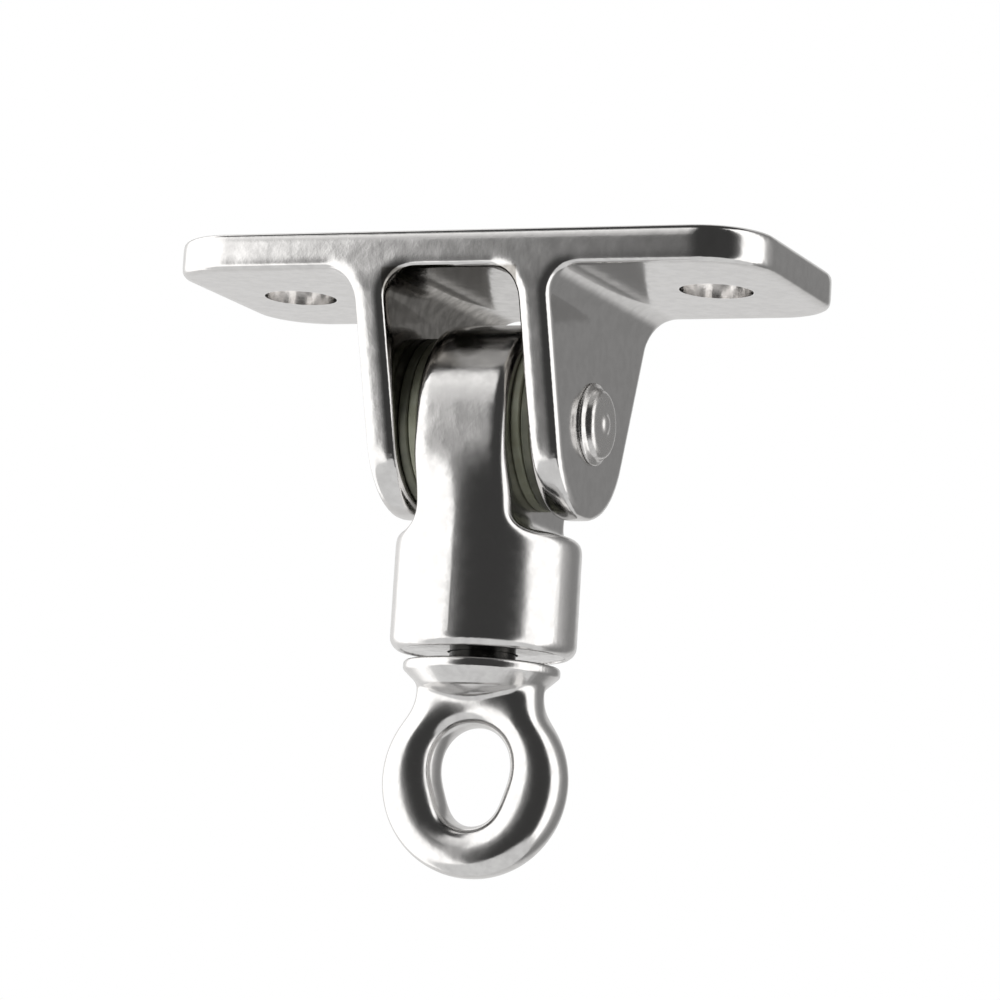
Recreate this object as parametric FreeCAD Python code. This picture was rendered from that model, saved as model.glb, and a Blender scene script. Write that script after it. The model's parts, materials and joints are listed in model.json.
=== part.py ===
import FreeCAD, Part
import math
import os

# Swivelling ceiling hanger, in millimetres.
# The origin is the centre of the face that meets the ceiling, with +Z up and +X along the mounting plate.
# "Drop" values are distances below the pivot pin's axis.

# Mounting bracket
plate_length = 85.0
plate_width = 40.0
plate_thickness = 5.0
plate_corner_radius = 9.0
screw_hole_diameter = 10.0
screw_hole_spacing = 61.0
cheek_thickness = 4.5
cheek_end_radius = 13.0
cheek_root_fillet = 4.0
cheek_straight = 0.3
cheek_bend_radius = 8.0
bracket_edge_round = 0.9
pin_axis_depth = 23.0

# Pivot pin
pin_diameter = 8.0
pin_head_diameter = 9.6
pin_head_height = 1.8
pin_head_round = 0.9
pin_collar_diameter = 11.2
pin_collar_height = 0.6
pin_collar_round = 0.35
pin_pip_diameter = 2.4
pin_pip_height = 0.35
pin_pip_round = 0.2

# Flanged bushes in the tongue and washers against the cheeks
bush_wall = 1.2
bush_flange_thickness = 1.35
bush_split = 0.4
washer_thickness = 1.35
disc_inset = 1.2
disc_edge_round = 0.3
side_play = 0.1

# Swivel housing: a tongue that blends into a round cup
tongue_width = 13.4
tongue_end_radius = 13.5
tongue_face_radius = 900.0
tongue_flat_share = 0.35
tongue_root_fillet = 2.5
housing_wall = 1.55
housing_roof = 2.3
housing_edge_round = 1.6
housing_mouth_round = 1.8
swing_clearance = 2.2

# Swivel bearing inside the housing, its nut and the ring that closes the mouth
retainer_thickness = 3.0
retainer_recess = 0.3
retainer_ledge = 0.7
race_thickness = 2.3
race_clearance = 0.2
race_relief = 0.3
bearing_headroom = 0.8
ball_diameter = 3.0
ball_rim = 1.15
ball_seat_depth = 0.3
ball_count = 10
cage_clearance = 0.5
nut_across_flats = 13.0
nut_thickness = 3.0
nut_chamfer = 0.6
nut_side_room = 1.0
nut_headroom = 0.4

# Swivel eye
shank_diameter = 9.0
thread_diameter = 8.0
thread_stand_out = 0.3
eye_gap = 1.2
flange_diameter = 21.2
flange_thickness = 1.2
flange_edge_round = 0.5
scoop_margin = 0.4
scoop_core_inset = 0.15
scoop_bend_reach = 2.4
scoop_bend_share = 0.6
scoop_bend_radius = 2.0
scoop_fillet = 1.6
neck_inset = 1.9
neck_height = 2.4
neck_fillet = 6.0
eye_diameter = 26.2
eye_thickness = 8.0
eye_edge_round = 3.8
eye_land = 0.05
eye_hole_width = 11.0
eye_hole_height = 13.4
eye_hole_foot_radius = 4.4
eye_hole_rise = 0.6

# Fits
running_clearance = 0.05
seat_clearance = 0.05
ball_clearance = 0.1
shank_clearance = 0.3

# Stack between the cheeks, and the discs that lie inside the cheeks' round ends
cheek_gap = tongue_width + 2 * (bush_flange_thickness + side_play + washer_thickness)
disc_diameter = 2 * (cheek_end_radius - disc_inset)

# Diameters of the bearing and the cup, from the shank outwards
shank_hole_diameter = shank_diameter + 2 * shank_clearance
ball_circle_diameter = shank_hole_diameter + 2 * ball_rim + ball_diameter
lower_race_diameter = ball_circle_diameter + ball_diameter + 2 * ball_rim
upper_race_diameter = lower_race_diameter - 2 * race_relief
bearing_bore = lower_race_diameter + 2 * race_clearance
retainer_diameter = bearing_bore + 2 * retainer_ledge
retainer_bore = retainer_diameter + 2 * seat_clearance
housing_diameter = retainer_bore + 2 * housing_wall
nut_corner_radius = nut_across_flats / math.sqrt(3)
nut_bore = 2 * (nut_corner_radius + nut_side_room)

# Levels, from the cheeks' ends down
shoulder_drop = cheek_end_radius + swing_clearance
tongue_blend_drop = shoulder_drop - tongue_root_fillet
cavity_top_drop = shoulder_drop + housing_roof
shank_top_drop = cavity_top_drop + nut_headroom
nut_top_drop = shank_top_drop + thread_stand_out
bearing_top_drop = nut_top_drop + nut_thickness
race_gap = ball_diameter - 2 * ball_seat_depth
bearing_height = 2 * race_thickness + race_gap
bearing_middle_drop = bearing_top_drop + bearing_height / 2
retainer_top_drop = bearing_top_drop + bearing_height
housing_bottom_drop = retainer_top_drop + retainer_thickness + retainer_recess
flange_top_drop = housing_bottom_drop + eye_gap
flange_bottom_drop = flange_top_drop + flange_thickness

# Neck of the eye, where a small arc on each side runs into the ring
neck_width = flange_diameter - 2 * neck_inset
waist_drop = flange_bottom_drop + neck_height
waist_bend_x = neck_width / 2 + neck_fillet
waist_bend_rise = math.sqrt((eye_diameter / 2 + neck_fillet) ** 2 - waist_bend_x**2)
eye_drop = waist_drop + waist_bend_rise

# Hole of the ring, a little above the ring's centre, and the rounding that the ring's wall allows
eye_hole_drop = eye_drop - eye_hole_rise
foot_wall = (eye_diameter - eye_hole_height) / 2 + eye_hole_rise
side_wall = (eye_diameter - eye_hole_width) / 2
hole_head_drop = eye_hole_drop - eye_hole_height / 2 + eye_hole_width / 2
shoulder_wall = math.hypot(waist_bend_x, hole_head_drop - waist_drop) - neck_fillet - eye_hole_width / 2
thinnest = min(foot_wall, side_wall, shoulder_wall, eye_thickness)
ring_rounding = min(eye_edge_round, thinnest / 2 - eye_land)

# Foot of the hollow under the flange, which stays clear of the rounding above the hole
scoop_drop = eye_hole_drop - eye_hole_height / 2 - ring_rounding - scoop_margin


def at(x, y, drop):
    return FreeCAD.Vector(x, y, -pin_axis_depth - drop)


def rounded_wire(corners, place):
    """Closed outline through corners (a, b, radius) with tangent arcs; place maps (a, b) to space."""
    points = [FreeCAD.Vector(a, b, 0) for a, b, _ in corners]
    ends = []
    for i, corner in enumerate(points):
        radius = corners[i][2]
        to_previous = (points[i - 1] - corner).normalize()
        to_next = (points[(i + 1) % len(points)] - corner).normalize()
        half_angle = to_previous.getAngle(to_next) / 2
        reach = radius / math.tan(half_angle)
        start = corner + to_previous * reach
        finish = corner + to_next * reach
        middle = corner
        if radius > 0:
            inward = (to_previous + to_next).normalize()
            middle = corner + inward * (radius / math.sin(half_angle) - radius)
        ends.append((start, middle, finish, radius))
    edges = []
    for i, (start, middle, finish, radius) in enumerate(ends):
        previous_finish = ends[i - 1][2]
        if (start - previous_finish).Length > 1e-6:
            edges.append(Part.LineSegment(place(previous_finish), place(start)).toShape())
        if radius > 0:
            edges.append(Part.Arc(place(start), place(middle), place(finish)).toShape())
    return Part.Wire(edges)


def in_xz(point):
    return FreeCAD.Vector(point.x, 0, point.y)


def in_yz(point):
    return FreeCAD.Vector(0, point.x, point.y)


def in_xy(point):
    return FreeCAD.Vector(point.x, point.y, 0)


def prism(wire, direction):
    """Solid made by sliding a closed outline along a direction, centred on the outline's plane."""
    face = Part.Face(wire)
    face.translate(direction * -0.5)
    return face.extrude(direction)


def turned(corners):
    """Solid of revolution about Z from an outline of (radius, drop, rounding)."""
    wire = rounded_wire([(r, -pin_axis_depth - drop, rounding) for r, drop, rounding in corners], in_xz)
    return Part.Face(wire).revolve(FreeCAD.Vector(), FreeCAD.Vector(0, 0, 1), 360)


def turned_on_pin(corners):
    """Solid of revolution about the pin axis from an outline of (x, radius, rounding)."""
    wire = rounded_wire([(x, r - pin_axis_depth, rounding) for x, r, rounding in corners], in_xz)
    return Part.Face(wire).revolve(at(0, 0, 0), FreeCAD.Vector(1, 0, 0), 360)


def disc(diameter, top_drop, height):
    return Part.makeCylinder(diameter / 2, height, at(0, 0, top_drop + height))


def pin_hole(diameter):
    start = at(-plate_length / 2, 0, 0)
    return Part.makeCylinder(diameter / 2, plate_length, start, FreeCAD.Vector(1, 0, 0))


def face_normal(face, point):
    u, v = face.Surface.parameter(point)
    return face.normalAt(u, v)


def sharp_edges(shape, least_angle=25.0):
    """Edges where two faces meet at a corner, leaving out the seams of smooth blends."""
    found = []
    for edge in shape.Edges:
        faces = shape.ancestorsOfType(edge, Part.Face)
        if len(faces) == 2:
            point = edge.valueAt((edge.FirstParameter + edge.LastParameter) / 2)
            angle = face_normal(faces[0], point).getAngle(face_normal(faces[1], point))
            if math.degrees(angle) > least_angle:
                found.append(edge)
    return found


def mounting_bracket():
    inner = cheek_gap / 2
    outer = inner + cheek_thickness
    below = -pin_axis_depth - 2 * cheek_end_radius
    half_length = plate_length / 2
    front_corners = [(half_length, -plate_thickness, 0), (half_length, 0, 0)]
    right_cheek = [
        (inner, -plate_thickness, cheek_root_fillet),
        (inner, below, 0),
        (outer, below, 0),
        (outer, -plate_thickness, cheek_root_fillet),
    ]
    left_cheek = [(-x, z, r) for x, z, r in reversed(right_cheek)]
    plate_left = [(-x, z, r) for x, z, r in reversed(front_corners)]
    front = prism(
        rounded_wire(left_cheek + right_cheek + front_corners + plate_left, in_xz),
        FreeCAD.Vector(0, 2 * plate_width, 0),
    )
    half_width = plate_width / 2
    bend_depth = plate_thickness + cheek_straight
    across = half_width - cheek_bend_radius
    down = pin_axis_depth - bend_depth
    spread = math.asin((cheek_bend_radius - cheek_end_radius) / math.hypot(across, down))
    taper = math.atan2(across, down) + spread
    taper_depth = bend_depth + cheek_bend_radius * math.tan(taper / 2)
    apex = -pin_axis_depth - cheek_end_radius / math.sin(taper)
    side = prism(
        rounded_wire(
            [
                (half_width, 0, 0),
                (-half_width, 0, 0),
                (-half_width, -taper_depth, cheek_bend_radius),
                (0, apex, cheek_end_radius),
                (half_width, -taper_depth, cheek_bend_radius),
            ],
            in_yz,
        ),
        FreeCAD.Vector(2 * plate_length, 0, 0),
    )
    plan = prism(
        rounded_wire(
            [
                (x * half_length, y * half_width, plate_corner_radius)
                for x, y in ((1, 1), (-1, 1), (-1, -1), (1, -1))
            ],
            in_xy,
        ),
        FreeCAD.Vector(0, 0, -4 * below),
    )
    body = front.common(side).common(plan).removeSplitter()
    body = body.makeFillet(bracket_edge_round, sharp_edges(body))
    for side_sign in (-1, 1):
        centre = FreeCAD.Vector(side_sign * screw_hole_spacing / 2, 0, -2 * plate_thickness)
        body = body.cut(Part.makeCylinder(screw_hole_diameter / 2, 3 * plate_thickness, centre))
    return body.cut(pin_hole(pin_diameter + 2 * seat_clearance))


def pivot_pin():
    face = cheek_gap / 2 + cheek_thickness
    half = [
        (face, pin_diameter / 2, 0),
        (face, pin_collar_diameter / 2, 0),
        (face + pin_collar_height, pin_collar_diameter / 2, pin_collar_round),
        (face + pin_collar_height, pin_head_diameter / 2, 0),
        (face + pin_head_height, pin_head_diameter / 2, pin_head_round),
        (face + pin_head_height, pin_pip_diameter / 2, 0),
        (face + pin_head_height + pin_pip_height, pin_pip_diameter / 2, pin_pip_round),
        (face + pin_head_height + pin_pip_height, 0, 0),
    ]
    return turned_on_pin([(-x, r, rounding) for x, r, rounding in reversed(half)] + half)


def tongue_bush(side):
    flat = tongue_width / 2
    bore = pin_diameter / 2 + running_clearance
    corners = [
        (bush_split / 2, bore, 0),
        (flat + bush_flange_thickness, bore, 0),
        (flat + bush_flange_thickness, disc_diameter / 2, disc_edge_round),
        (flat, disc_diameter / 2, disc_edge_round),
        (flat, bore + bush_wall, 0),
        (bush_split / 2, bore + bush_wall, 0),
    ]
    return turned_on_pin([(side * x, r, rounding) for x, r, rounding in corners])


def cheek_washer(side):
    inner = tongue_width / 2 + bush_flange_thickness + side_play
    outer = cheek_gap / 2
    bore = pin_diameter / 2 + seat_clearance
    corners = [
        (inner, bore, 0),
        (outer, bore, 0),
        (outer, disc_diameter / 2, disc_edge_round),
        (inner, disc_diameter / 2, disc_edge_round),
    ]
    return turned_on_pin([(side * x, r, rounding) for x, r, rounding in corners])


def tongue_section(drop):
    """Edges of the tongue's outline: front and back nearly flat at the pin, round at the cup."""
    share = max(0, drop / tongue_blend_drop - tongue_flat_share) / (1 - tongue_flat_share)
    blend = share * share * (3 - 2 * share)
    reach = tongue_end_radius + blend * (housing_diameter / 2 - tongue_end_radius)
    radius = 1 / ((1 - blend) / tongue_face_radius + blend / (housing_diameter / 2))
    half_width = tongue_width / 2 + housing_edge_round
    edge = reach - radius + math.sqrt(radius * radius - half_width * half_width)
    corners = [at(-half_width, -edge, drop), at(half_width, -edge, drop)]
    corners += [at(half_width, edge, drop), at(-half_width, edge, drop)]
    return [
        Part.Arc(corners[0], at(0, -reach, drop), corners[1]).toShape(),
        Part.LineSegment(corners[1], corners[2]).toShape(),
        Part.Arc(corners[2], at(0, reach, drop), corners[3]).toShape(),
        Part.LineSegment(corners[3], corners[0]).toShape(),
    ]


def housing_form():
    """Outer form before the sides of the tongue are cut: cup, blended tongue and its round end."""
    cup = disc(housing_diameter, tongue_blend_drop, housing_bottom_drop - tongue_blend_drop)
    steps = 6
    sections = [Part.Wire(tongue_section(tongue_blend_drop * i / steps)) for i in range(steps + 1)]
    blend = Part.makeLoft(sections, True, False)
    front_arc = tongue_section(0)[0]
    left, right = front_arc.Vertexes[0].Point, front_arc.Vertexes[1].Point
    axis_left = FreeCAD.Vector(left.x, 0, left.z)
    axis_right = FreeCAD.Vector(right.x, 0, right.z)
    half_section = Part.Wire(
        [
            front_arc,
            Part.LineSegment(right, axis_right).toShape(),
            Part.LineSegment(axis_right, axis_left).toShape(),
            Part.LineSegment(axis_left, left).toShape(),
        ]
    )
    end = Part.Face(half_section).revolve(at(0, 0, 0), FreeCAD.Vector(-1, 0, 0), 180)
    return cup.fuse([blend, end]).removeSplitter()


def swivel_housing():
    flat = tongue_width / 2
    wide = housing_diameter
    shoulder = at(0, 0, shoulder_drop).z
    bottom = at(0, 0, housing_bottom_drop).z
    right = [
        (wide, bottom - wide, 0),
        (wide, shoulder, 0),
        (flat, shoulder, tongue_root_fillet),
        (flat, 0, 0),
    ]
    left = [(-x, z, r) for x, z, r in reversed(right)]
    front_view = prism(rounded_wire(right + left, in_xz), FreeCAD.Vector(0, 2 * wide, 0))
    body = housing_form().common(front_view).removeSplitter()
    edges = sharp_edges(body)
    mouth = [edge for edge in edges if abs(edge.CenterOfMass.z - bottom) < 0.01]
    body = body.makeFillet(housing_edge_round, [edge for edge in edges if edge not in mouth])
    mouth = [edge for edge in sharp_edges(body) if abs(edge.CenterOfMass.z - bottom) < 0.01]
    body = body.makeFillet(housing_mouth_round, mouth)
    bearing_roof = bearing_top_drop - bearing_headroom
    body = body.cut(disc(retainer_bore, retainer_top_drop, retainer_thickness * 2))
    body = body.cut(disc(bearing_bore, bearing_roof, retainer_top_drop - bearing_roof))
    body = body.cut(disc(nut_bore, cavity_top_drop, bearing_roof - cavity_top_drop))
    bush_diameter = pin_diameter + 2 * (running_clearance + bush_wall + seat_clearance)
    return body.cut(pin_hole(bush_diameter))


def bearing_retainer():
    ring = disc(retainer_diameter, retainer_top_drop, retainer_thickness)
    return ring.cut(disc(shank_hole_diameter, retainer_top_drop, retainer_thickness))


def ball_groove():
    radius = ball_diameter / 2 + ball_clearance
    return Part.makeTorus(ball_circle_diameter / 2, radius, at(0, 0, bearing_middle_drop))


def lower_bearing_race():
    top = retainer_top_drop - race_thickness
    ring = disc(lower_race_diameter, top, race_thickness)
    ring = ring.cut(disc(shank_hole_diameter, top, race_thickness))
    return ring.cut(ball_groove())


def upper_bearing_race():
    ring = disc(upper_race_diameter, bearing_top_drop, race_thickness)
    ring = ring.cut(disc(shank_diameter + 2 * seat_clearance, bearing_top_drop, race_thickness))
    return ring.cut(ball_groove())


def ball_centres():
    for i in range(ball_count):
        angle = 2 * math.pi * i / ball_count
        reach = ball_circle_diameter / 2
        yield at(reach * math.cos(angle), reach * math.sin(angle), bearing_middle_drop)


def bearing_balls():
    return Part.makeCompound([Part.makeSphere(ball_diameter / 2, centre) for centre in ball_centres()])


def bearing_cage():
    thickness = race_gap - 2 * cage_clearance
    top = bearing_middle_drop - thickness / 2
    ring = disc(upper_race_diameter, top, thickness)
    ring = ring.cut(disc(shank_hole_diameter, top, thickness))
    pocket = ball_diameter / 2 + ball_clearance
    return ring.cut([Part.makeSphere(pocket, centre) for centre in ball_centres()])


def shank_nut():
    reach = nut_corner_radius
    turns = [math.pi * i / 3 for i in range(7)]
    corners = [at(reach * math.cos(t), reach * math.sin(t), bearing_top_drop) for t in turns]
    hexagon = Part.Face(Part.makePolygon(corners)).extrude(FreeCAD.Vector(0, 0, nut_thickness))
    hole = thread_diameter / 2 + seat_clearance
    flat = nut_across_flats / 2
    blank = turned(
        [
            (hole, bearing_top_drop, 0),
            (flat, bearing_top_drop, 0),
            (reach, bearing_top_drop - nut_chamfer, 0),
            (reach, nut_top_drop + nut_chamfer, 0),
            (flat, nut_top_drop, 0),
            (hole, nut_top_drop, 0),
        ]
    )
    return hexagon.common(blank)


def eye_hole():
    """Egg-shaped outline: a round top and a smaller round foot, joined by tangent lines."""
    head_radius = eye_hole_width / 2
    foot_drop = eye_hole_drop + eye_hole_height / 2 - eye_hole_foot_radius
    lean = math.asin((head_radius - eye_hole_foot_radius) / (foot_drop - hole_head_drop))

    def tangent_point(side, radius, drop):
        return at(side * radius * math.cos(lean), 0, drop + radius * math.sin(lean))

    head = [tangent_point(side, head_radius, hole_head_drop) for side in (-1, 1)]
    foot = [tangent_point(side, eye_hole_foot_radius, foot_drop) for side in (-1, 1)]
    return Part.Wire(
        [
            Part.Arc(head[0], at(0, 0, hole_head_drop - head_radius), head[1]).toShape(),
            Part.LineSegment(head[1], foot[1]).toShape(),
            Part.Arc(foot[1], at(0, 0, foot_drop + eye_hole_foot_radius), foot[0]).toShape(),
            Part.LineSegment(foot[0], head[0]).toShape(),
        ]
    )


def eye_ring():
    """Ring and neck: a flat outline with a concave neck on each side, rounded all over."""
    radius = eye_diameter / 2
    lean = math.atan2(waist_bend_x, waist_bend_rise)
    spread = neck_fillet * math.sqrt(0.5)
    spare = eye_diameter / 2

    def half(side):
        return [
            at(side * (waist_bend_x - spread + spare), 0, waist_drop - spread - spare),
            at(side * (waist_bend_x - spread), 0, waist_drop - spread),
            at(side * neck_width / 2, 0, waist_drop),
            at(side * radius * math.sin(lean), 0, eye_drop - radius * math.cos(lean)),
        ]

    right = half(1)
    left = half(-1)
    outline = Part.Wire(
        [
            Part.LineSegment(left[0], right[0]).toShape(),
            Part.LineSegment(right[0], right[1]).toShape(),
            Part.Arc(right[1], right[2], right[3]).toShape(),
            Part.Arc(right[3], at(0, 0, eye_drop + radius), left[3]).toShape(),
            Part.Arc(left[3], left[2], left[1]).toShape(),
            Part.LineSegment(left[1], left[0]).toShape(),
        ]
    )
    body = prism(outline, FreeCAD.Vector(0, eye_thickness, 0))
    body = body.cut(prism(eye_hole(), FreeCAD.Vector(0, 2 * eye_thickness, 0)))
    front_and_back = [edge for edge in sharp_edges(body) if abs(edge.CenterOfMass.y) > eye_thickness / 4]
    edges = [edge for edge in front_and_back if edge.CenterOfMass.z < right[0].z - seat_clearance]
    body = body.makeFillet(ring_rounding, edges)
    top_drop = waist_drop - spread - spare
    above = disc(4 * eye_diameter, top_drop, flange_bottom_drop - flange_edge_round - top_drop)
    return body.cut(above)


def swivel_eye():
    """Shank, flange and ring; a hollow cone under the flange runs into the ring with soft seams."""
    core = eye_thickness / 2 - scoop_core_inset
    bend_x = flange_diameter / 2 - scoop_bend_reach
    bend_drop = flange_bottom_drop + scoop_bend_share * (scoop_drop - flange_bottom_drop)
    stem = turned(
        [
            (0, shank_top_drop, 0),
            (thread_diameter / 2, shank_top_drop, 0),
            (thread_diameter / 2, bearing_top_drop, 0),
            (shank_diameter / 2, bearing_top_drop, 0),
            (shank_diameter / 2, flange_top_drop, 0),
            (flange_diameter / 2, flange_top_drop, flange_edge_round),
            (flange_diameter / 2, flange_bottom_drop, flange_edge_round),
            (bend_x, bend_drop, scoop_bend_radius),
            (core, scoop_drop, 0),
            (0, scoop_drop, 0),
        ]
    )
    body = stem.fuse(eye_ring()).removeSplitter()
    underside = at(0, 0, flange_bottom_drop).z
    seams = [edge for edge in sharp_edges(body, least_angle=12.0) if edge.BoundBox.ZMax < underside]
    return body.makeFillet(scoop_fillet, seams)


PIECES = {
    "mounting_bracket": mounting_bracket,
    "pivot_pin": pivot_pin,
    "left_tongue_bush": lambda: tongue_bush(-1),
    "right_tongue_bush": lambda: tongue_bush(1),
    "left_cheek_washer": lambda: cheek_washer(-1),
    "right_cheek_washer": lambda: cheek_washer(1),
    "swivel_housing": swivel_housing,
    "bearing_retainer": bearing_retainer,
    "lower_bearing_race": lower_bearing_race,
    "upper_bearing_race": upper_bearing_race,
    "bearing_cage": bearing_cage,
    "bearing_balls": bearing_balls,
    "shank_nut": shank_nut,
    "swivel_eye": swivel_eye,
}

os.makedirs("parts", exist_ok=True)
for name, make in PIECES.items():
    make().exportStep(f"parts/{name}.step")
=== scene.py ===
import json
import math
import bmesh
import bpy
import numpy as np
from mathutils import Matrix, Vector


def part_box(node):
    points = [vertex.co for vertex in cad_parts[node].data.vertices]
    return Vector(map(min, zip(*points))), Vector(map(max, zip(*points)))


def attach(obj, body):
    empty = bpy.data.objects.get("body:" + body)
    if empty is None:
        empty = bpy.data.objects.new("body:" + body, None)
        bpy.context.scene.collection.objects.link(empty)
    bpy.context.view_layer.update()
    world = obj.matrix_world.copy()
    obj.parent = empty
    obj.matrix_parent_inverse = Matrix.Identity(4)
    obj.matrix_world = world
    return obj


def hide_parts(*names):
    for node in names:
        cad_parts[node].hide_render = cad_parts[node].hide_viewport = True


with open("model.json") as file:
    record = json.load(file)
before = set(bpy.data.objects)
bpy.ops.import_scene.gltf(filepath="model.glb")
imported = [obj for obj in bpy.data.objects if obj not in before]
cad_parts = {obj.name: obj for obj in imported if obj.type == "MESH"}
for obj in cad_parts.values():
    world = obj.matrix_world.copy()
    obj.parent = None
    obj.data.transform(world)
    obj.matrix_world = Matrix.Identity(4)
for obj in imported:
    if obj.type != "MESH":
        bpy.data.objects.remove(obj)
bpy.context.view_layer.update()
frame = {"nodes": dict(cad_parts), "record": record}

# The frame is in metres: a millimetre in metres, and a metre in millimetres
MM = 0.001
METRE = 1.0 / MM

# Camera, fitted to the plate, the cheeks and the eye: angles in degrees, lengths in millimetres
IMAGE_SIZE = 1000
SENSOR_WIDTH = 36.0
FOCAL_PIXELS = 4500.0
CAMERA_AZIMUTH = 22.45
CAMERA_RISE = 8.22
CAMERA_ROLL = 3.5
CAMERA_TARGET = Vector((1.15, 0.0, -33.26))
CAMERA_DISTANCE = 607.79

# Floor and overhead lamp: sizes and heights in metres, power in watts
FLOOR_LEVEL = -0.82
FLOOR_RADIUS = 0.72
FLOOR_SEGMENTS = 96
FLOOR_COLOUR = (0.86, 0.86, 0.85, 1.0)
LAMP_HEIGHT = 1.2
LAMP_SIZE = 1.2
LAMP_POWER = 12.0

# Studio colours, and light levels where 1 is white
WHITE = (1.0, 1.0, 1.0, 1.0)
STUDIO_COLOUR = (1.0, 0.992, 0.985, 1.0)
FLOOR_GLOW = 0.92
WHITE_CARD = 1.75
UPPER_CARD = 1.4
OVERHEAD_LIGHT = 0.06

# Light level around the horizon: degrees from the front, positive to the right, and level
HORIZON = (
    (-180, 0.70), (-150, 0.77), (-126, 0.90), (-116, WHITE_CARD), (-28, WHITE_CARD),
    (-26.6, 1.58), (-25.4, 0.98), (-24.5, 0.48), (-23.5, 0.33), (-22, 0.23), (-20, 0.17),
    (-17, 0.10), (-12, 0.035), (-4, 0.0), (56, 0.0), (64, 0.06), (70, 0.26),
    (77, WHITE_CARD), (119, WHITE_CARD), (125, 0.72), (132, 0.50), (142, 0.34), (150, 0.25),
    (168, 0.25), (180, 0.70),
)
# The cards lean: height in degrees, and the degrees by which their edges move round there
CARD_LEAN = ((-22, 3.2), (8, 0.0), (15, 0.0), (40, 11.0), (56, 22.0))
# Upper card at the front left: its share of light by height and by azimuth, in degrees
UPPER_BAND = (
    (13, 0.0), (17, 0.45), (26, 0.66), (36, 0.85), (43, 0.95), (48, 0.80), (53, 0.0),
)
UPPER_SIDES = ((-75, 0.0), (-50, 1.0), (-18, 1.0), (-8, 0.0))
# Heights in degrees between which the cards end at the top and the floor's glow ends
SKY_FADE = (52, 64)
FLOOR_FADE = (-62, -40)

# Cloud patterns: the range of values that they use, and the sockets of a colour mix
PATTERN_RANGE = (0.30, 0.70)
MIX_FIRST = 6
MIX_SECOND = 7
MIX_RESULT = 2

# Cast steel: sizes and depths of its patterns in millimetres, dark and light colour, roughness
WAVE_SIZE = 5.0
WAVE_DEPTH = 0.04
CLOUD_SIZE = 1.6
CLOUD_DEPTH = 0.012
GRAIN_SIZE = 0.22
GRAIN_DEPTH = 0.0012
CAST_COLOURS = ((0.57, 0.563, 0.556), (0.63, 0.623, 0.615))
CAST_ROUGH = 0.14
PLATE_ROUGH = 0.10
CAST_DULLING = 1.5

# Bulge of the bracket's casting along X: middle in metres, fall in metres per square metre
BOW_CENTRE = -0.012
BOW_FALL = 0.22

# Painted shade between the cheeks and under the plate: half width and height of its edges, in metres,
# and its dark and light colour
CLEFT_SHADE_SIDE = (0.0095, 0.0098)
CLEFT_SHADE_TOP = (-0.0053, -0.0048)
CLEFT_SHADE_COLOURS = ((0.22, 0.21, 0.195), (0.36, 0.345, 0.325))

# Bright drilled walls of the screw holes: where they end, in metres from the hole's axis
DRILLED_EDGE = (0.00505, 0.0052)
DRILLED_SKIN = ((0.73, 0.72, 0.71), (0.79, 0.78, 0.77))

# Painted shade on the eye's shank above its flange, in the gap under the cup: heights of its edge, in
# metres
SHANK_SHADE_FOOT = (-0.0556, -0.0555)
SHANK_SHADE_COLOURS = ((0.02, 0.02, 0.019), (0.05, 0.048, 0.045))

# Turned pin: scale of its rings, sizes and depths in millimetres, colours, roughness
RING_SCALE = 700.0
RING_DISTORTION = 1.5
RING_DEPTH = 0.0004
PIN_CLOUD_SIZE = 0.9
PIN_CLOUD_DEPTH = 0.003
PIN_COLOURS = ((0.54, 0.53, 0.52), (0.62, 0.61, 0.60))
PIN_ROUGH = (0.30, 0.18)

# Nylon: stains and grain in millimetres, colours, roughness
STAIN_SIZE = 3.0
NYLON_GRAIN_SIZE = 0.35
NYLON_GRAIN_DEPTH = 0.004
NYLON_ROUGH = (0.50, 0.40)
NYLON_IOR = 1.53
BUSH_COLOURS = ((0.23, 0.24, 0.17), (0.31, 0.32, 0.24))
# Washers: the bushes' nylon, painted darker as shade in the narrow gap between tongue and cheek
WASHER_SHADED_COLOURS = ((0.10, 0.105, 0.075), (0.15, 0.155, 0.11))

# Bearing metals: handling marks in millimetres, colours, roughness
MARK_SIZE = 1.2
MARK_DEPTH = 0.002
MARK_DULLING = 1.4
BEARING_COLOURS = ((0.60, 0.60, 0.61), (0.68, 0.68, 0.69))
BEARING_ROUGH = 0.10
BRASS_COLOURS = ((0.66, 0.49, 0.24), (0.75, 0.58, 0.31))
BRASS_ROUGH = 0.22

# Softened castings: grids in millimetres, rounds of smoothing, shares of each round
EYE_GRID = 0.2
EYE_ROUNDS = 130
HOUSING_GRID = 0.28
HOUSING_ROUNDS = 18
PIN_GRID = 0.15
PIN_ROUNDS = 24
BRACKET_GRID = 0.36
BRACKET_ROUNDS = 7
EVEN_ROUNDS = 10
SMOOTH_SHARE = 0.5
SWELL_SHARE = -0.52
# Where the softening grows from nothing to its full strength, in metres: heights on the eye and
# the housing, reach along X on the pin, reaches from the axes of the pin and the cup's bore
EYE_FADE = (-0.0592, -0.0615)
HOUSING_FADE = (-0.046, -0.041)
PIN_FADE = (0.0143, 0.0147)
PIN_KEEP = (0.0075, 0.0085)
CAVITY_KEEP = (0.0106, 0.0112)
# Height of the pin's axis, in metres
PIN_HEIGHT = -0.023

# Screw holes, plugged while the bracket is softened and cut afterwards: millimetres and degrees
HOLE_SEGMENTS = 96
PLUG_LAP = 0.2
PLUG_DEPTH = 4.96
CUT_DEPTH = 20.0
SHARP_ANGLE = 40.0


def new_node(tree, kind, links=None, values=None, **settings):
    """Add a node, set its options and constants, and link its inputs."""
    node = tree.nodes.new(kind)
    for name, value in settings.items():
        setattr(node, name, value)
    for name, value in (values or {}).items():
        node.inputs[name].default_value = value
    for name, socket in (links or {}).items():
        tree.links.new(socket, node.inputs[name])
    return node


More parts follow.
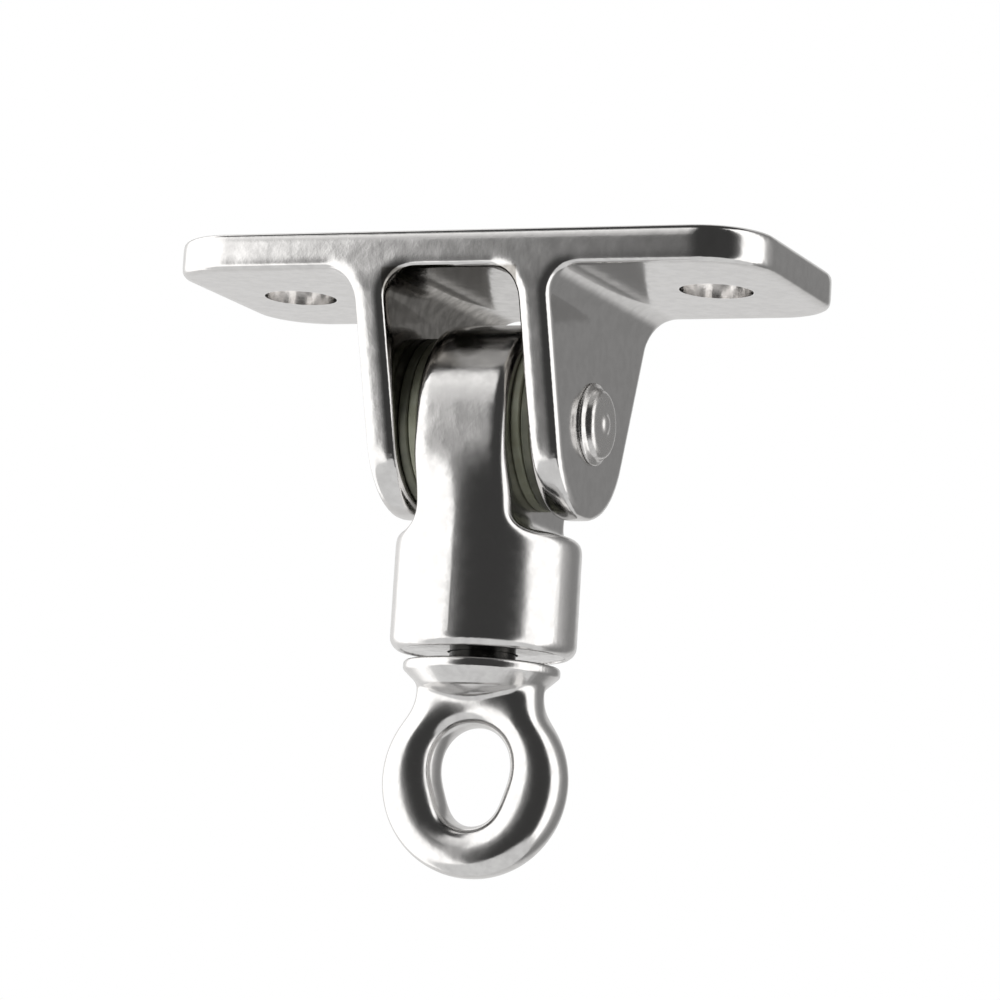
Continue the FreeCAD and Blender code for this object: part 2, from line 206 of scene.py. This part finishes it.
def maths(tree, operation, first, second=None):
    """Math node whose inputs are sockets or numbers; gives its output socket."""
    node = tree.nodes.new("ShaderNodeMath")
    node.operation = operation
    for index, item in enumerate((first, second)):
        if item is None:
            continue
        if isinstance(item, (int, float)):
            node.inputs[index].default_value = item
        else:
            tree.links.new(item, node.inputs[index])
    return node.outputs[0]


def ramp(tree, socket, low, high, from_value=0.0, to_value=1.0):
    """Smooth step of a socket between two of its values."""
    ends = {"From Min": low, "From Max": high, "To Min": from_value, "To Max": to_value}
    node = new_node(tree, "ShaderNodeMapRange", links={"Value": socket}, values=ends,
                    interpolation_type="SMOOTHSTEP")
    return node.outputs["Result"]


def level_curve(tree, socket, points):
    """Piecewise linear level of an angle in degrees, as a sum of linear steps."""
    total = points[0][1]
    for (start, before), (end, after) in zip(points, points[1:]):
        if before == after:
            continue
        ends = {"From Min": start, "From Max": end, "To Min": 0.0, "To Max": after - before}
        step = new_node(tree, "ShaderNodeMapRange", links={"Value": socket}, values=ends,
                        interpolation_type="LINEAR")
        total = maths(tree, "ADD", step.outputs["Result"], total)
    return total


def studio_level(tree):
    """Light level of the studio by direction: cards, dark room, sky and glowing floor."""
    direction = new_node(tree, "ShaderNodeTexCoord").outputs["Generated"]
    axes = new_node(tree, "ShaderNodeSeparateXYZ", links={"Vector": direction}).outputs
    front = maths(tree, "MULTIPLY", axes["Y"], -1.0)
    azimuth = maths(tree, "DEGREES", maths(tree, "ARCTAN2", axes["X"], front))
    height = maths(tree, "DEGREES", maths(tree, "ARCSINE", axes["Z"]))

    lean = level_curve(tree, height, CARD_LEAN)
    horizon = level_curve(tree, maths(tree, "ADD", azimuth, lean), HORIZON)
    upper_band = level_curve(tree, height, UPPER_BAND)
    upper_share = maths(tree, "MULTIPLY", upper_band, level_curve(tree, azimuth, UPPER_SIDES))
    below_sky = ramp(tree, height, *SKY_FADE, from_value=1.0, to_value=0.0)
    above_floor = ramp(tree, height, *FLOOR_FADE)

    level = maths(tree, "MULTIPLY", horizon, below_sky)
    level = maths(tree, "ADD", level, OVERHEAD_LIGHT)
    level = maths(tree, "MAXIMUM", level, maths(tree, "MULTIPLY", upper_share, UPPER_CARD))
    glow = maths(tree, "MULTIPLY", maths(tree, "SUBTRACT", 1.0, above_floor), FLOOR_GLOW)
    return maths(tree, "ADD", maths(tree, "MULTIPLY", level, above_floor), glow)


def build_world():
    """White backdrop for the camera, the studio for everything else."""
    world = bpy.data.worlds.new("studio")
    bpy.context.scene.world = world
    world.use_nodes = True
    tree = world.node_tree
    tree.nodes.clear()
    studio = new_node(tree, "ShaderNodeBackground", links={"Strength": studio_level(tree)},
                      values={"Color": STUDIO_COLOUR})
    backdrop = new_node(tree, "ShaderNodeBackground", values={"Color": WHITE, "Strength": 1.0})
    rays = new_node(tree, "ShaderNodeLightPath").outputs
    seen = maths(tree, "MAXIMUM", rays["Is Camera Ray"], rays["Is Transmission Ray"])
    mixed = new_node(tree, "ShaderNodeMixShader",
                     links={0: seen, 1: studio.outputs[0], 2: backdrop.outputs[0]})
    new_node(tree, "ShaderNodeOutputWorld", links={"Surface": mixed.outputs[0]})


def new_material(name):
    """Empty node material; gives it with its tree."""
    material = bpy.data.materials.new(name)
    material.use_nodes = True
    material.node_tree.nodes.clear()
    return material, material.node_tree


def object_place(tree):
    """Place on the piece, in metres in the part's frame."""
    return new_node(tree, "ShaderNodeTexCoord").outputs["Object"]


def noise(tree, place, size_mm, detail=3.0, roughness=0.5, offset=0.0):
    """Cloud pattern whose features are about size_mm across, from 0 to 1."""
    moved = new_node(tree, "ShaderNodeVectorMath", links={0: place},
                     values={1: (offset, offset, offset)}, operation="ADD")
    look = {"Scale": 1.0 / (size_mm * MM), "Detail": detail, "Roughness": roughness}
    pattern = new_node(tree, "ShaderNodeTexNoise", links={"Vector": moved.outputs[0]}, values=look)
    return pattern.outputs[0]


def spread(tree, pattern, low, high):
    """Map the usual range of a cloud pattern to low and high."""
    return ramp(tree, pattern, *PATTERN_RANGE, from_value=low, to_value=high)


def bump(tree, height, depth_mm, normal=None):
    """Surface relief of a pattern, depth_mm deep, on top of the relief given as normal."""
    links = {"Height": height}
    if normal is not None:
        links["Normal"] = normal
    node = new_node(tree, "ShaderNodeBump", links=links,
                    values={"Strength": 1.0, "Distance": depth_mm * MM})
    return node.outputs[0]


def blend(tree, factor, first, second):
    """Colour between first and second, each of them a colour or a socket."""
    node = new_node(tree, "ShaderNodeMix", data_type="RGBA", links={"Factor": factor})
    for index, colour in ((MIX_FIRST, first), (MIX_SECOND, second)):
        if isinstance(colour, tuple):
            node.inputs[index].default_value = (*colour, 1.0)
        else:
            tree.links.new(colour, node.inputs[index])
    return node.outputs[MIX_RESULT]


def surface(tree, links, values):
    """Principled surface and output."""
    shader = new_node(tree, "ShaderNodeBsdfPrincipled", links=links, values=values)
    new_node(tree, "ShaderNodeOutputMaterial", links={"Surface": shader.outputs[0]})


def screw_holes():
    """Middle and radius of each screw hole, in metres."""
    mount = next(row for row in frame["record"]["mounts"] if row["name"] == "screw_holes")
    reach = mount["dims"]["spacing_x_mm"] / 2 * MM
    radius = mount["dims"]["hole_r_mm"] * MM
    return [(Vector((side * reach, 0.0, mount["pos_m"][2])), radius) for side in (-1, 1)]


def bow(tree, place):
    """Relief of the bracket's front, which bulges a little along X."""
    along = new_node(tree, "ShaderNodeSeparateXYZ", links={"Vector": place}).outputs["X"]
    offset = maths(tree, "SUBTRACT", along, BOW_CENTRE)
    fall = maths(tree, "MULTIPLY", maths(tree, "MULTIPLY", offset, offset), -BOW_FALL)
    return bump(tree, fall, METRE)


def cleft_shade(tree, place):
    """Mask of the painted shade: 1 between the bracket's cheeks and under its plate, 0 elsewhere."""
    axes = new_node(tree, "ShaderNodeSeparateXYZ", links={"Vector": place}).outputs
    aside = maths(tree, "ABSOLUTE", axes["X"])
    between = ramp(tree, aside, *CLEFT_SHADE_SIDE, from_value=1.0, to_value=0.0)
    under = ramp(tree, axes["Z"], *CLEFT_SHADE_TOP, from_value=1.0, to_value=0.0)
    return maths(tree, "MULTIPLY", between, under)


def drilled(tree, place):
    """1 on the walls of the screw holes, 0 elsewhere."""
    axes = new_node(tree, "ShaderNodeSeparateXYZ", links={"Vector": place}).outputs
    hole_x = max(middle.x for middle, _ in screw_holes())
    along = maths(tree, "SUBTRACT", maths(tree, "ABSOLUTE", axes["X"]), hole_x)
    offset = new_node(tree, "ShaderNodeCombineXYZ", links={"X": along, "Y": axes["Y"]}).outputs[0]
    length = new_node(tree, "ShaderNodeVectorMath", links={0: offset}, operation="LENGTH")
    return ramp(tree, length.outputs["Value"], *DRILLED_EDGE, from_value=1.0, to_value=0.0)


def shank(tree, place):
    """Mask of the painted shade: 1 on the eye's shank, 0 on its flange and ring."""
    height = new_node(tree, "ShaderNodeSeparateXYZ", links={"Vector": place}).outputs["Z"]
    return ramp(tree, height, *SHANK_SHADE_FOOT)


def cast_stainless(name, rough, bowed=False, shades_and_skins=()):
    """Cast stainless steel, tumbled and polished: cloudy sheen, slight waves, fine pits; masked
    places get their own colours, some of them painted shade.
    """
    material, tree = new_material(name)
    place = object_place(tree)
    waves = noise(tree, place, WAVE_SIZE, detail=1.0)
    clouds = noise(tree, place, CLOUD_SIZE, detail=4.0, roughness=0.55, offset=0.3)
    grain = noise(tree, place, GRAIN_SIZE, detail=2.0, offset=0.7)
    relief = bow(tree, place) if bowed else None
    for pattern, depth in ((waves, WAVE_DEPTH), (clouds, CLOUD_DEPTH), (grain, GRAIN_DEPTH)):
        relief = bump(tree, pattern, depth, relief)
    sheen = spread(tree, clouds, 0.0, 1.0)
    colour = blend(tree, sheen, *CAST_COLOURS)
    # Painted shade, and the drilled walls' own brighter colour, laid over the steel by their masks
    for shade_and_skin_mask, shade_and_skin_colours in shades_and_skins:
        shade_and_skin_colour = blend(tree, sheen, *shade_and_skin_colours)
        colour = blend(tree, shade_and_skin_mask(tree, place), colour, shade_and_skin_colour)
    polish = spread(tree, clouds, rough * CAST_DULLING, rough)
    surface(tree, links={"Base Color": colour, "Roughness": polish, "Normal": relief},
            values={"Metallic": 1.0})
    return material


def turned_stainless(name, axis_point):
    """Pin steel with faint turning rings about the X axis through axis_point."""
    material, tree = new_material(name)
    place = object_place(tree)
    centred = new_node(tree, "ShaderNodeVectorMath", links={0: place}, values={1: axis_point},
                       operation="SUBTRACT")
    look = {"Scale": RING_SCALE, "Distortion": RING_DISTORTION, "Detail": 2.0}
    rings = new_node(tree, "ShaderNodeTexWave", wave_type="RINGS", rings_direction="X",
                     links={"Vector": centred.outputs[0]}, values=look)
    clouds = noise(tree, place, PIN_CLOUD_SIZE)
    relief = bump(tree, rings.outputs[1], RING_DEPTH)
    relief = bump(tree, clouds, PIN_CLOUD_DEPTH, relief)
    colour = blend(tree, spread(tree, clouds, 0.0, 1.0), *PIN_COLOURS)
    polish = spread(tree, clouds, *PIN_ROUGH)
    surface(tree, links={"Base Color": colour, "Roughness": polish, "Normal": relief},
            values={"Metallic": 1.0})
    return material


def moulded_nylon(name, colours):
    """Olive grey nylon with a soft sheen and a little staining."""
    material, tree = new_material(name)
    place = object_place(tree)
    stains = noise(tree, place, STAIN_SIZE)
    grain = noise(tree, place, NYLON_GRAIN_SIZE, detail=2.0, offset=0.5)
    colour = blend(tree, spread(tree, stains, 0.0, 1.0), *colours)
    polish = spread(tree, stains, *NYLON_ROUGH)
    relief = bump(tree, grain, NYLON_GRAIN_DEPTH)
    surface(tree, links={"Base Color": colour, "Roughness": polish, "Normal": relief},
            values={"IOR": NYLON_IOR})
    return material


def polished_metal(name, colours, rough):
    """Smooth bearing metal with faint handling marks."""
    material, tree = new_material(name)
    marks = noise(tree, object_place(tree), MARK_SIZE, detail=4.0)
    colour = blend(tree, spread(tree, marks, 0.0, 1.0), *colours)
    polish = spread(tree, marks, rough * MARK_DULLING, rough)
    relief = bump(tree, marks, MARK_DEPTH)
    surface(tree, links={"Base Color": colour, "Roughness": polish, "Normal": relief},
            values={"Metallic": 1.0})
    return material


def node_looks():
    """Finished material of every CAD node, by the node's name."""
    pin_low, pin_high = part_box("pivot_pin")
    pin_middle = (Vector(pin_low) + Vector(pin_high)) / 2
    slot_looks = {
        "stainless_steel": cast_stainless("cast_stainless", CAST_ROUGH),
        "nylon": moulded_nylon("moulded_nylon", BUSH_COLOURS),
        "bearing_steel": polished_metal("ground_bearing_steel", BEARING_COLOURS, BEARING_ROUGH),
        "cage_brass": polished_metal("pressed_brass", BRASS_COLOURS, BRASS_ROUGH),
    }
    # Painted shade between the cheeks, and the bright colour of the drilled hole walls
    bracket_shade_and_skin = ((cleft_shade, CLEFT_SHADE_COLOURS), (drilled, DRILLED_SKIN))
    # Painted shade on the shank in the gap under the cup
    eye_shade = ((shank, SHANK_SHADE_COLOURS),)
    # Washers in the same nylon, painted darker as shade
    shaded_washer_nylon = moulded_nylon("shaded_washer_nylon", WASHER_SHADED_COLOURS)
    own_looks = {
        "mounting_bracket": cast_stainless("plate_stainless", PLATE_ROUGH, True, bracket_shade_and_skin),
        "swivel_eye": cast_stainless("eye_stainless", CAST_ROUGH, False, eye_shade),
        "pivot_pin": turned_stainless("turned_stainless", tuple(pin_middle)),
        "left_cheek_washer": shaded_washer_nylon,
        "right_cheek_washer": shaded_washer_nylon,
    }
    rows = frame["record"]["subparts"]
    return {row["node"]: own_looks.get(row["node"], slot_looks[row["material_slot"]]) for row in rows}


def paint_nodes(looks):
    """Give every CAD node its finished material."""
    for name, look in looks.items():
        for slot in frame["nodes"][name].material_slots:
            slot.material = look


def fade(values, start, end):
    """0 at start, 1 at end, linear between them."""
    return np.clip((values - start) / (end - start), 0.0, 1.0)


def eye_share(points):
    """Softening of the eye: the ring and the neck, not the flange."""
    return fade(points[:, 2], *EYE_FADE)


def pin_share(points):
    """Softening of the pin: the heads outside the cheeks."""
    return fade(np.abs(points[:, 0]), *PIN_FADE)


def bracket_share(points):
    """Softening of the bracket: all its edges and fillets, not the pin bores."""
    return fade(np.hypot(points[:, 1], points[:, 2] - PIN_HEIGHT), *PIN_KEEP)


def housing_share(points):
    """Softening of the housing: the tongue's outside and the shoulders, not the bores."""
    pin_reach = np.hypot(points[:, 1], points[:, 2] - PIN_HEIGHT)
    axis_reach = np.hypot(points[:, 0], points[:, 1])
    outside = np.maximum(fade(axis_reach, *CAVITY_KEEP), points[:, 2] > PIN_HEIGHT)
    return fade(points[:, 2], *HOUSING_FADE) * fade(pin_reach, *PIN_KEEP) * outside


def neighbour_mean(points, ends):
    """Mean of each point's neighbours along the edges."""
    first, second = ends[:, 0], ends[:, 1]
    targets = np.concatenate((first, second))
    sources = np.concatenate((second, first))
    count = np.bincount(targets, minlength=len(points))
    sums = [np.bincount(targets, points[sources, axis], len(points)) for axis in range(3)]
    return np.stack(sums, axis=1) / np.maximum(count, 1)[:, None]


def softened(points, ends, rounds, share):
    """Even out the grid without shrinking it, then round off flats and seams."""
    for step in (SMOOTH_SHARE, SWELL_SHARE) * EVEN_ROUNDS:
        points = points + step * (neighbour_mean(points, ends) - points)
    weight = SMOOTH_SHARE * share(points)[:, None]
    for _ in range(rounds):
        points = points + weight * (neighbour_mean(points, ends) - points)
    return points


def soften(mesh, rounds, share):
    """Move the mesh's points to their softened places."""
    points = np.empty(len(mesh.vertices) * 3)
    ends = np.empty(len(mesh.edges) * 2, dtype=np.int64)
    mesh.vertices.foreach_get("co", points)
    mesh.edges.foreach_get("vertices", ends)
    points = softened(points.reshape(-1, 3), ends.reshape(-1, 2), rounds, share)
    mesh.vertices.foreach_set("co", points.ravel())


def apply_modifiers(piece):
    """Give the piece the mesh that its modifiers make, and take the modifiers away."""
    graph = bpy.context.evaluated_depsgraph_get()
    mesh = bpy.data.meshes.new_from_object(piece.evaluated_get(graph))
    piece.modifiers.clear()
    piece.data = mesh


def plug_holes(mesh):
    """Fill the screw holes, so that the softening leaves their edges alone."""
    shape = bmesh.new()
    shape.from_mesh(mesh)
    for middle, radius in screw_holes():
        wide = radius + PLUG_LAP * MM
        bmesh.ops.create_cone(shape, cap_ends=True, segments=HOLE_SEGMENTS, radius1=wide,
                              radius2=wide, depth=PLUG_DEPTH * MM,
                              matrix=Matrix.Translation(middle))
    shape.to_mesh(mesh)
    shape.free()


def cut_holes(piece):
    """Cut the screw holes again, with crisp edges."""
    cutters = []
    for middle, radius in screw_holes():
        bpy.ops.mesh.primitive_cylinder_add(vertices=HOLE_SEGMENTS, radius=radius,
                                            depth=CUT_DEPTH * MM, location=middle)
        cutters.append(bpy.context.object)
        cut = piece.modifiers.new("hole", "BOOLEAN")
        cut.operation = "DIFFERENCE"
        cut.solver = "EXACT"
        cut.object = cutters[-1]
    apply_modifiers(piece)
    piece.data.shade_smooth()
    piece.data.set_sharp_from_angle(angle=math.radians(SHARP_ANGLE))
    for cutter in cutters:
        bpy.data.objects.remove(cutter)


def soft_copy(node_name, body, look, grid_mm, rounds, share, holes=False):
    """Rounded casting in place of a CAD node, made from the node's own mesh."""
    source = frame["nodes"][node_name]
    piece = bpy.data.objects.new("soft_" + node_name, source.data.copy())
    piece.matrix_world = source.matrix_world
    bpy.context.scene.collection.objects.link(piece)
    if holes:
        plug_holes(piece.data)
    grid = piece.modifiers.new("grid", "REMESH")
    grid.mode = "VOXEL"
    grid.voxel_size = grid_mm * MM
    apply_modifiers(piece)
    soften(piece.data, rounds, share)
    piece.data.shade_smooth()
    if holes:
        cut_holes(piece)
    piece.data.materials.clear()
    piece.data.materials.append(look)
    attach(piece, body)
    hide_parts(node_name)


def soften_castings(looks):
    """Softened copies of the eye, the housing, the pin and the bracket."""
    soft_copy("swivel_eye", "eye", looks["swivel_eye"], EYE_GRID, EYE_ROUNDS, eye_share)
    soft_copy("swivel_housing", "housing", looks["swivel_housing"], HOUSING_GRID, HOUSING_ROUNDS,
              housing_share)
    soft_copy("pivot_pin", "bracket", looks["pivot_pin"], PIN_GRID, PIN_ROUNDS, pin_share)
    soft_copy("mounting_bracket", "bracket", looks["mounting_bracket"], BRACKET_GRID,
              BRACKET_ROUNDS, bracket_share, holes=True)


def floor_material():
    """Pale matt floor that metal sees as a bright sweep."""
    material, tree = new_material("pale_floor")
    matt = new_node(tree, "ShaderNodeBsdfDiffuse", values={"Color": FLOOR_COLOUR})
    glow = new_node(tree, "ShaderNodeEmission", values={"Color": WHITE, "Strength": FLOOR_GLOW})
    rays = new_node(tree, "ShaderNodeLightPath").outputs
    seen = maths(tree, "MAXIMUM", rays["Is Glossy Ray"], rays["Is Transmission Ray"])
    mixed = new_node(tree, "ShaderNodeMixShader",
                     links={0: seen, 1: matt.outputs[0], 2: glow.outputs[0]})
    new_node(tree, "ShaderNodeOutputMaterial", links={"Surface": mixed.outputs[0]})
    return material


def build_floor():
    """Round pale floor well below the hook, and an overhead lamp that metal doesn't mirror."""
    bpy.ops.mesh.primitive_circle_add(vertices=FLOOR_SEGMENTS, radius=FLOOR_RADIUS,
                                      fill_type="NGON", location=(0.0, 0.0, FLOOR_LEVEL))
    floor = bpy.context.object
    floor.name = "studio_floor"
    floor.data.materials.append(floor_material())
    lamp = bpy.data.lights.new("floor_lamp", "AREA")
    lamp.shape = "DISK"
    lamp.size = LAMP_SIZE
    lamp.energy = LAMP_POWER
    holder = bpy.data.objects.new("floor_lamp", lamp)
    holder.location = (0.0, 0.0, LAMP_HEIGHT)
    holder.visible_glossy = False
    bpy.context.scene.collection.objects.link(holder)


def build_camera():
    """Camera of the photograph: a little below the hook, to the right of its front."""
    azimuth = math.radians(CAMERA_AZIMUTH)
    rise = math.radians(CAMERA_RISE)
    roll = math.radians(CAMERA_ROLL)
    level = math.cos(rise)
    look = Vector((-math.sin(azimuth) * level, math.cos(azimuth) * level, math.sin(rise)))
    right = Vector((math.cos(azimuth), math.sin(azimuth), 0.0))
    up = right.cross(look)
    across = math.cos(roll) * right + math.sin(roll) * up
    upright = math.cos(roll) * up - math.sin(roll) * right
    data = bpy.data.cameras.new("photo_camera")
    data.sensor_width = SENSOR_WIDTH
    data.lens = SENSOR_WIDTH * FOCAL_PIXELS / IMAGE_SIZE
    camera = bpy.data.objects.new("photo_camera", data)
    place = (CAMERA_TARGET - look * CAMERA_DISTANCE) * MM
    turn = Matrix((across, upright, -look)).transposed()
    camera.matrix_world = Matrix.Translation(place) @ turn.to_4x4()
    bpy.context.scene.collection.objects.link(camera)
    bpy.context.scene.camera = camera


finished_looks = node_looks()
paint_nodes(finished_looks)
soften_castings(finished_looks)
build_floor()
build_world()
build_camera()
bpy.context.scene.view_settings.view_transform = "Standard"
